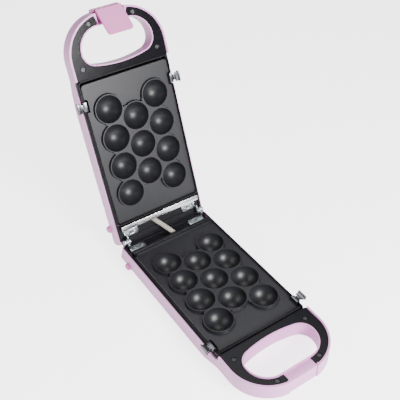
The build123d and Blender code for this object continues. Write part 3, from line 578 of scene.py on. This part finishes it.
for half in ("base", "lid"):
    bm = bmesh.new()
    loop = [bm.verts.new((x, y, 0)) for x, y in liner_outline()]
    edges = [bm.edges.new(pair) for pair in zip(loop, loop[1:] + loop[:1])]
    for spot in LINER_SCREWS[:2]:
        edges += ring_edges(add_loop(bm, arc(spot, SCREW_SEAT, 0, 345, 23)))
    bmesh.ops.triangle_fill(bm, use_beauty=True, edges=edges, normal=(0, 0, 1))
    whole = bm.verts[:] + bm.edges[:] + bm.faces[:]
    bmesh.ops.mirror(bm, geom=whole, matrix=Matrix.Identity(4), merge_dist=0.01, axis="X")
    bmesh.ops.remove_doubles(bm, verts=bm.verts, dist=0.01)
    seam = [e for e in bm.edges if all(abs(v.co.x) < 0.005 for v in e.verts)]
    bmesh.ops.dissolve_edges(bm, edges=seam, use_verts=False)
    bmesh.ops.recalc_face_normals(bm, faces=bm.faces)
    if bm.faces[:][0].normal.z > 0:
        bmesh.ops.reverse_faces(bm, faces=bm.faces)
    bmesh.ops.translate(bm, verts=bm.verts, vec=(0, 0, LINER_SINK))
    rims = [e for e in bm.edges if e.is_boundary]
    sides = bmesh.ops.extrude_edge_only(bm, edges=rims)["geom"]
    lower = [g for g in sides if isinstance(g, bmesh.types.BMVert)]
    bmesh.ops.translate(bm, verts=lower, vec=(0, 0, LINER_THICK))
    seat(bm, half)
    liner = make_piece(half + "_liner_panel", bm, BLACK, half, "liner_black", half + "_handle_liner")
    soften(liner, 0.35)
    bm = bmesh.new()
    for spot in LINER_SCREWS:
        outer = add_loop(bm, arc(spot, RING_RADIUS, 0, 345, 23), RING_LEVEL)
        inner = add_loop(bm, arc(spot, RING_RADIUS - RING_WIDTH, 0, 345, 23), RING_LEVEL)
        bmesh.ops.bridge_loops(bm, edges=ring_edges(outer) + ring_edges(inner))
        for ring, depth in ((outer, 0.6), (inner, 1.4)):
            skirt = bmesh.ops.extrude_edge_only(bm, edges=ring_edges(ring))["geom"]
            fresh = [g for g in skirt if isinstance(g, bmesh.types.BMVert)]
            bmesh.ops.translate(bm, verts=fresh, vec=(0, 0, depth))
    bmesh.ops.recalc_face_normals(bm, faces=bm.faces)
    seat(bm, half)
    rings = make_piece(half + "_screw_rings", bm, BLACK, half, "liner_black")
    soften(rings, 0.2)
    bm = bmesh.new()
    for x, y in LINER_SCREWS:
        place = Matrix.Translation((x, y, 2.9))
        bmesh.ops.create_cone(
            bm, cap_ends=True, segments=24, radius1=2.45, radius2=1.2, depth=1.6, matrix=place
        )
        add_slab(bm, x - SLOT_LONG, x + SLOT_LONG, y - SLOT_WIDE, y + SLOT_WIDE, *SLOT_LEVELS)
        add_slab(bm, x - SLOT_WIDE, x + SLOT_WIDE, y - SLOT_LONG, y + SLOT_LONG, *SLOT_LEVELS)
    seat(bm, half)
    screws = make_piece(half + "_screws", bm, SCREW_BLACK, half, "screw_dark", half + "_liner_screws")
    soften(screws, 0.12)

# ------------------------------------------------------------------ baking plates
# A die-cast plate with a dark non-stick coat lies in each half: eleven round cavities in one raised
# island, a flat field sunk round it, and a narrow raised border with a notch for each clip.

PITCH = 36.0
CAVITY = 16.6
COLUMN = PITCH * cos(radians(30))
FIRST_ROW = -59.7
PLATE_HALF = 57.6
PLATE_Y = (-203.7, -24.9)
FIELD = 3.8
BORDER = 2.4
PLATE_SKIRT = 5.4
PLATE_WALL = 0.001
PLATE_CORNER = 4.5
CLIP_NOTCH_HALF, CLIP_NOTCH_BITE = 6.9, 2.8
LAND = 17.8
WEB_TURN = 24.0
ISLAND_DRAFT = 0.9
SEGMENTS = 60

cavities = [(side * COLUMN, FIRST_ROW - PITCH * k) for side in (-1, 1) for k in range(4)]
cavities += [(0.0, FIRST_ROW - PITCH * (k + 0.5)) for k in range(3)]


def non_stick():
    """Charcoal non-stick coat: a satin dark body with fine pale flecks."""
    material = finish(
        "non_stick_coat", (0.012, 0.012, 0.015), 0.40, shift=0.12, grain=1400, relief=0.05, shine=0.42
    )
    nodes = material.node_tree.nodes
    links = material.node_tree.links
    shader = nodes["Principled BSDF"]
    place = next(n for n in nodes if n.type == "TEX_COORD")
    flecks = nodes.new("ShaderNodeTexVoronoi")
    flecks.inputs["Scale"].default_value = 1100
    links.new(place.outputs["Object"], flecks.inputs["Vector"])
    pick = nodes.new("ShaderNodeValToRGB")
    pick.color_ramp.elements[0].position = 0.0
    pick.color_ramp.elements[0].color = (0.09, 0.09, 0.10, 1)
    pick.color_ramp.elements[1].position = 0.24
    pick.color_ramp.elements[1].color = (0, 0, 0, 1)
    links.new(flecks.outputs["Distance"], pick.inputs["Fac"])
    add = nodes.new("ShaderNodeMix")
    add.data_type = "RGBA"
    add.blend_type = "ADD"
    add.inputs["Factor"].default_value = 0.6
    tint = shader.inputs["Base Color"].links[0].from_socket
    links.new(tint, add.inputs["A"])
    links.new(pick.outputs["Color"], add.inputs["B"])
    links.new(add.outputs["Result"], shader.inputs["Base Color"])
    return material


def reach(cavity, angle):
    """How far the island's top runs from a cavity's middle: to the next cell, or to its own edge."""
    beside = []
    for k in range(6):
        turn = radians(30 + 60 * k)
        x, y = cavity[0] + PITCH * cos(turn), cavity[1] + PITCH * sin(turn)
        beside.append(any(hypot(x - cx, y - cy) < 1 for cx, cy in cavities))
    sector = int(((degrees(angle) - 30) % 360) // 60)
    offset = (degrees(angle) - 30) % 60
    near, far = beside[sector], beside[(sector + 1) % 6]
    to_near = PITCH / 2 / cos(radians(offset)) if near else LAND
    to_far = PITCH / 2 / cos(radians(60 - offset)) if far else LAND
    if near and far:
        return min(to_near, to_far)
    if near and offset < WEB_TURN:
        return to_near
    if far and 60 - offset < WEB_TURN:
        return to_far
    return LAND


def notched_border(half):
    """The plate's outer edge: rounded corners, and a notch on each side for a clip."""
    corner = PLATE_CORNER
    low, high = PLATE_Y
    near, far = CLIP_MIDDLE[half] + CLIP_NOTCH_HALF, CLIP_MIDDLE[half] - CLIP_NOTCH_HALF
    deep = PLATE_HALF - CLIP_NOTCH_BITE
    right = [(0, high)] + arc((PLATE_HALF - corner, high - corner), corner, 90, 0, 6)
    right += [(PLATE_HALF, near), (deep, near), (deep, far), (PLATE_HALF, far)]
    right += arc((PLATE_HALF - corner, low + corner), corner, 0, -90, 6) + [(0, low)]
    return mirrored_loop(right)


NON_STICK = non_stick()
for half in ("base", "lid"):
    bm = bmesh.new()
    for cavity in cavities:
        bowl = bmesh.ops.create_uvsphere(bm, u_segments=SEGMENTS, v_segments=28, radius=CAVITY)["verts"]
        kept = [v for v in bowl if v.co.z > -0.01]
        bmesh.ops.delete(bm, geom=[v for v in bowl if v.co.z <= -0.01], context="VERTS")
        rim = [v for v in kept if abs(v.co.z) < 0.01]
        land = bmesh.ops.extrude_edge_only(bm, edges=ring_edges(rim))["geom"]
        for v in (g for g in land if isinstance(g, bmesh.types.BMVert)):
            angle = atan2(v.co.y, v.co.x)
            far = reach(cavity, angle)
            v.co = Vector((far * cos(angle), far * sin(angle), 0))
            kept.append(v)
        bmesh.ops.translate(bm, verts=kept, vec=(*cavity, 0))
    bmesh.ops.remove_doubles(bm, verts=bm.verts, dist=0.05)
    shore = [e for e in bm.edges if e.is_boundary]
    wall = bmesh.ops.extrude_edge_only(bm, edges=shore)["geom"]
    foot = [g for g in wall if isinstance(g, bmesh.types.BMVert)]
    bmesh.ops.recalc_face_normals(bm, faces=bm.faces)
    for v in foot:
        nearest = min(cavities, key=lambda c: hypot(v.co.x - c[0], v.co.y - c[1]))
        away = Vector((v.co.x - nearest[0], v.co.y - nearest[1], 0)).normalized()
        v.co += away * ISLAND_DRAFT + Vector((0, 0, FIELD))
    foot_edges = [g for g in wall if isinstance(g, bmesh.types.BMEdge) and all(v in foot for v in g.verts)]
    face = bm.faces.new(add_loop(bm, notched_border(half)))
    outer = list(face.edges)
    bmesh.ops.inset_region(bm, faces=[face], thickness=BORDER, use_even_offset=True)
    lip = list(face.edges)
    bmesh.ops.delete(bm, geom=[face], context="FACES_ONLY")
    slope = bmesh.ops.extrude_edge_only(bm, edges=lip)["geom"]
    sunk = [g for g in slope if isinstance(g, bmesh.types.BMVert)]
    bmesh.ops.translate(bm, verts=sunk, vec=(0, 0, FIELD))
    sunk_edges = [g for g in slope if isinstance(g, bmesh.types.BMEdge) and all(v in sunk for v in g.verts)]
    bmesh.ops.triangle_fill(bm, use_beauty=True, edges=foot_edges + sunk_edges, normal=(0, 0, 1))
    skirt = bmesh.ops.extrude_edge_only(bm, edges=outer)["geom"]
    lower = [g for g in skirt if isinstance(g, bmesh.types.BMVert)]
    bmesh.ops.translate(bm, verts=lower, vec=(0, 0, PLATE_SKIRT))
    bmesh.ops.recalc_face_normals(bm, faces=bm.faces)
    field_face = max(bm.faces, key=lambda f: f.calc_area())
    if field_face.normal.z > 0:
        bmesh.ops.reverse_faces(bm, faces=bm.faces)
    bmesh.ops.translate(bm, verts=bm.verts, vec=(0, 0, MEETING))
    seat(bm, half)
    plate = make_piece(half + "_baking_plate", bm, NON_STICK, half, "non_stick", half + "_plate")
    wall = plate.modifiers.new("wall", "SOLIDIFY")
    wall.thickness = PLATE_WALL
    wall.offset = -1.0
    soften(plate, 0.5, segments=3, angle=40)

# ------------------------------------------------------------------ inner frames
# A dark pressed-steel tray carries each plate and its heater. Its thin upright rim shows as a line
# round the plate, a shelf at the hinge end takes the hinge brackets, and a cap closes the gap behind.

FRAME_DARK = finish("dark_enamel", (0.008, 0.008, 0.010), 0.4, shine=0.25, shift=0.15, grain=800, relief=0.04)
FRAME_HALF = 59.2
FRAME_Y = (-207.7, -22.2)
FRAME_CORNER = 5.5
FRAME_SHEET = 1.1
FLANGE_HALF = 61.1
FLOOR_HALF = 57.9
CAP_HALF = FRAME_HALF - 0.5


def frame_rim(half, inset):
    """The tray's upright rim seen from above, with close points at each side of a clip."""
    x, low, high = FRAME_HALF - inset, FRAME_Y[0] + inset, FRAME_Y[1] - inset
    corner = FRAME_CORNER - inset
    right = [(0, high)] + arc((x - corner, high - corner), corner, 90, 0, 5)
    middle = CLIP_MIDDLE[half]
    right += [(x, middle + 6.8), (x, middle + 6.6), (x, middle - 6.6), (x, middle - 6.8)]
    right += arc((x - corner, low + corner), corner, 0, -90, 5) + [(0, low)]
    return mirrored_loop(right)


for half in ("base", "lid"):
    bm = bmesh.new()
    outer = add_loop(bm, frame_rim(half, 0.0))
    inner = add_loop(bm, frame_rim(half, FRAME_SHEET))
    middle = CLIP_MIDDLE[half]
    for v in bm.verts:
        at_clip = abs(v.co.y - middle) < 6.7
        v.co.z = 6.0 if at_clip else (3.0 if v.co.y > -30.0 else 2.6)
    bmesh.ops.bridge_loops(bm, edges=ring_edges(outer) + ring_edges(inner))
    for ring in (outer, inner):
        side = bmesh.ops.extrude_edge_only(bm, edges=ring_edges(ring))["geom"]
        for v in (g for g in side if isinstance(g, bmesh.types.BMVert)):
            v.co.z = 20.5 if v.co.y > -190 else 16.5
    bottom = [e for e in bm.edges if e.is_boundary]
    bmesh.ops.bridge_loops(bm, edges=bottom)
    add_slab(bm, -FLOOR_HALF, FLOOR_HALF, -188.0, -23.5, 19.6, 20.6)
    add_slab(bm, -FLOOR_HALF, FLOOR_HALF, -206.4, -187.0, 15.4, 16.4)
    add_slab(bm, -FLOOR_HALF, FLOOR_HALF, -188.2, -187.1, 16.2, 20.4)
    add_slab(bm, -FRAME_HALF, FRAME_HALF, -23.6, -1.2, 8.8, 10.0)
    for side in (-1, 1):
        for y0, y1 in ((-207.6, middle + CLIP_OPENING[0]), (middle + CLIP_OPENING[1], -1.1)):
            x0, x1 = sorted((side * (FRAME_HALF - 0.5), side * FLANGE_HALF))
            add_slab(bm, x0, x1, y0, y1, 5.3, 6.35)
    cap = add_slab(bm, -CAP_HALF, CAP_HALF, -2.1, 5.5, 6.9, 7.9)
    for v in cap:
        if v.co.y > 0 and v.co.z < 7.5:
            v.co.y = 4.8
    if half == "base":
        add_slab(bm, -CAP_HALF, CAP_HALF, 2.9, 3.9, 5.4, 7.2)
    add_slab(bm, -CAP_HALF, CAP_HALF, -2.1, -1.0, 7.4, 9.9)
    bmesh.ops.recalc_face_normals(bm, faces=bm.faces)
    seat(bm, half)
    tray = make_piece(half + "_tray", bm, FRAME_DARK, half, "frame_dark", half + "_inner_frame")
    soften(tray, 0.3)

# ------------------------------------------------------------------ small metal and moulded parts
# Stampings, bars, pins and small mouldings keep their machined shapes. Each gets its edges rounded,
# as a tumbled stamping or a moulding has, and its own finish.

CLIP_STEEL = finish(
    "clip_steel", (0.13, 0.135, 0.145), 0.26, metallic=1.0, shift=0.15, grain=600, relief=0.06
)
ZINC = finish(
    "zinc_plate", (0.52, 0.56, 0.59), 0.3,
    metallic=1.0, shift=0.12, grain=600, relief=0.06, rough_shift=0.12,
)
BRIGHT = finish("bright_strip", (0.86, 0.87, 0.89), 0.24, metallic=1.0, shift=0.05, grain=500, relief=0.02)
ACCENT = finish("deep_pink_gloss", (0.72, 0.20, 0.50), 0.3, coat=0.35, shift=0.015, grain=700, relief=0.012)
LENS_DARK = finish(
    "smoked_lens", (0.004, 0.004, 0.005), 0.08,
    shine=0.3, shift=0.2, grain=300, relief=0.004, rough_shift=0.03,
)
BADGE_GREY = finish("badge_grey", (0.38, 0.35, 0.40), 0.38, metallic=0.5, shift=0.08, grain=900, relief=0.08)
RUBBER = finish("black_rubber", (0.02, 0.02, 0.02), 0.7, shift=0.2, grain=1200, relief=0.2)
HEATER = finish("heater_sheath", (0.30, 0.27, 0.25), 0.45, metallic=0.9, shift=0.2, grain=900, relief=0.1)
CERAMIC = finish("ceramic", (0.80, 0.77, 0.70), 0.6, shift=0.06, grain=1000, relief=0.08)
BOARD = finish("lamp_board", (0.03, 0.16, 0.08), 0.45, shift=0.15, grain=900, relief=0.05)


def trimmed(node, material, body, slot, width, segments=2):
    """A copy of a CAD node with its flat facets joined and its sharp edges rounded."""
    bm = bmesh.new()
    bm.from_mesh(frame["nodes"][node].data)
    bmesh.ops.remove_doubles(bm, verts=bm.verts, dist=0.000002)
    bmesh.ops.dissolve_limit(bm, angle_limit=radians(1), verts=bm.verts, edges=bm.edges)
    piece = make_piece(node + "_trim", bm, material, body, slot, node)
    soften(piece, width, segments, 30)
    return piece


for half in ("base", "lid"):
    for side in ("left", "right"):
        trimmed(f"{half}_hinge_bracket_{side}", ZINC, half, "zinc_steel", 0.3)
        trimmed(f"{half}_clip_{side}", CLIP_STEEL, f"{half}_clip_{side}", "zinc_steel", 0.3)
    trimmed(half + "_bracket_rivets", ZINC, half, "zinc_steel", 0.2)
    trimmed(half + "_foot_bar", ACCENT, half, "accent_pink", 0.8, 3)
    trimmed(half + "_heating_element", HEATER, half, "heater_steel", 0.2)
trimmed("lid_retaining_strip", BRIGHT, "lid", "bright_steel", 0.35)
trimmed("base_retaining_bar", FRAME_DARK, "base", "frame_dark", 0.35)
for side in ("left", "right"):
    trimmed("hinge_pin_" + side, ZINC, "base", "zinc_steel", 0.2)
trimmed("hinge_springs", ZINC, "base", "zinc_steel", 0.3)
trimmed("latch", ACCENT, "latch", "accent_pink", 0.7, 3)
trimmed("latch_pin", ZINC, "lid", "zinc_steel", 0.1)
trimmed("latch_block", ACCENT, "lid", "accent_pink", 0.6, 3)
trimmed("indicator_bezel", PINK, "lid", "shell_pink", 0.3)
trimmed("indicator_lens", LENS_DARK, "lid", "lens_dark", 0.2)
trimmed("indicator_lamps", BOARD, "lid", "board_green", 0.1)
trimmed("badge", BADGE_GREY, "lid", "badge_grey", 0.15)
trimmed("thermostat", ZINC, "base", "zinc_steel", 0.2)
trimmed("thermal_fuse", CERAMIC, "base", "ceramic", 0.2)
trimmed("terminal_block", CERAMIC, "base", "ceramic", 0.3)
trimmed("cord_bushing", RUBBER, "base", "rubber_black", 0.4)
trimmed("rubber_feet", RUBBER, "base", "rubber_black", 0.6)
